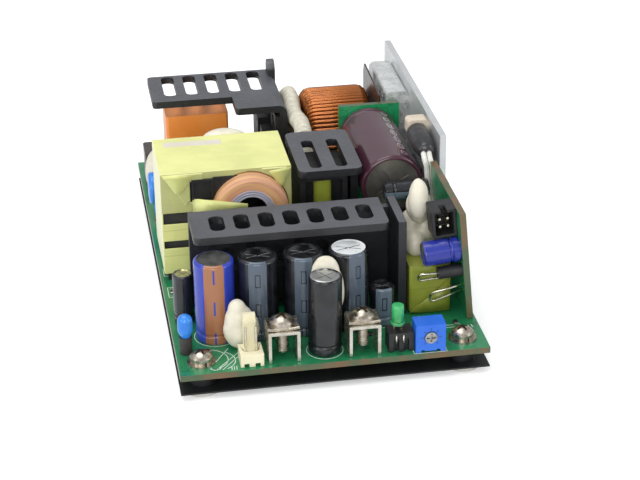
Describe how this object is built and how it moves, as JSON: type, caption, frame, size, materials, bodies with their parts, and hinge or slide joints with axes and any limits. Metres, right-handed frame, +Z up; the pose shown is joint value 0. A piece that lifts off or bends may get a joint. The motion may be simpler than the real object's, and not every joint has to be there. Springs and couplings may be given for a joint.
{
  "type": "open frame power supply",
  "caption": "Open frame switching power supply: loaded circuit board on spacers, slotted black heatsinks, taped transformer, screw output terminals, side heat plate.",
  "frame": {"origin": "middle of the board's outline, on the plane of the four spacer feet", "axes": "+X along the output edge towards the control board, +Y from the output edge to the input edge, +Z up"},
  "size_m": [0.0762, 0.127, 0.0425],
  "materials": {
    "solder_mask_green": "glossy green solder mask",
    "solder": "bright solder",
    "insulating_film": "matt black film",
    "nylon": "natural nylon",
    "nickel_plate": "nickel plate",
    "cream_nylon": "cream nylon",
    "tinned_pin": "tinned pins",
    "tinned_strip": "tinned strip",
    "blue_sleeve": "glossy blue sleeve, bronze stripe",
    "black_sleeve": "glossy black sleeve, grey stripe",
    "clear_over_black": "black sleeve, white marks",
    "lamp_green": "tinted epoxy",
    "black_plastic": "moulded black",
    "trimmer_blue": "moulded blue",
    "rotor_metal": "pale metal",
    "blue_epoxy": "glossy blue epoxy",
    "ferrite": "dark ferrite",
    "black_anodised": "black anodised aluminium",
    "package_epoxy": "black epoxy",
    "litz": "served litz wire",
    "yellow_tape": "yellow polyester tape",
    "olive_tape": "tape over wire",
    "orange_box": "orange plastic box",
    "cream_sleeve": "wrinkled cream sleeve",
    "enamelled_copper": "enamelled copper wire",
    "maroon_sleeve": "glossy maroon sleeve",
    "bare_aluminium": "plain aluminium",
    "foil": "crinkled foil",
    "brown_film": "dark brown film",
    "shrink_sleeve": "black shrink sleeve",
    "silicone": "cream silicone",
    "white_wire": "white insulation",
    "white_nylon": "white nylon"
  },
  "bodies": {
    "supply": {"main_board": "solder_mask_green", "solder_joints": "solder", "insulating_sheet": "insulating_film", "corner_spacers": "nylon", "corner_screws": "nickel_plate", "corner_washers": "nickel_plate", "fan_header": "cream_nylon", "header_pins": "tinned_pin", "terminal_brackets": "tinned_strip", "terminal_washers": "tinned_strip", "terminal_screws": "nickel_plate", "blue_output_capacitor": "blue_sleeve", "output_capacitor_left": "black_sleeve", "output_capacitor_middle": "black_sleeve", "output_capacitor_right": "black_sleeve", "front_sleeved_capacitor": "clear_over_black", "small_output_capacitor": "black_sleeve", "led": "lamp_green", "led_holder": "black_plastic", "trimmer_body": "trimmer_blue", "left_small_capacitor": "clear_over_black", "bead_capacitor": "blue_epoxy", "ferrite_bead": "ferrite", "front_heatsink": "black_anodised", "output_rectifiers": "package_epoxy", "transformer_core": "ferrite", "transformer_bobbin": "black_plastic", "transformer_winding": "litz", "transformer_tape": "yellow_tape", "middle_heatsink": "black_anodised", "inductor_bobbin": "black_plastic", "inductor_winding": "olive_tape", "rear_heatsink": "black_anodised", "bridge_transistors": "package_epoxy", "film_capacitor": "orange_box", "disc_capacitor": "blue_epoxy", "sleeved_wire_bundle": "cream_sleeve", "choke_core": "ferrite", "choke_winding": "enamelled_copper", "bulk_capacitor": "maroon_sleeve", "bulk_capacitor_board": "solder_mask_green", "side_heat_plate": "bare_aluminium", "foil_wrapped_rectifier": "foil", "insulating_strip": "brown_film", "boost_transistors": "package_epoxy", "thermal_switch": "shrink_sleeve", "retaining_strap": "silicone", "white_leads": "white_wire", "lying_capacitor": "black_sleeve", "control_board": "solder_mask_green", "control_header": "black_plastic", "control_capacitor": "blue_sleeve", "control_chips": "package_epoxy", "wire_links": "solder", "standby_transformer": "olive_tape", "silicone_beads": "silicone", "ac_input_header": "white_nylon", "input_fuse": "package_epoxy", "common_mode_choke": "enamelled_copper"},
    "trimmer_rotor": {"trimmer_rotor": "rotor_metal"}
  },
  "joints": [
    {"name": "output_trim", "type": "hinge", "parent": "supply", "child": "trimmer_rotor", "pos_m": [0.0232, -0.0632, 0.0111], "axis": [0, -1, 0], "range_deg": [-135, 135]}
  ]
}
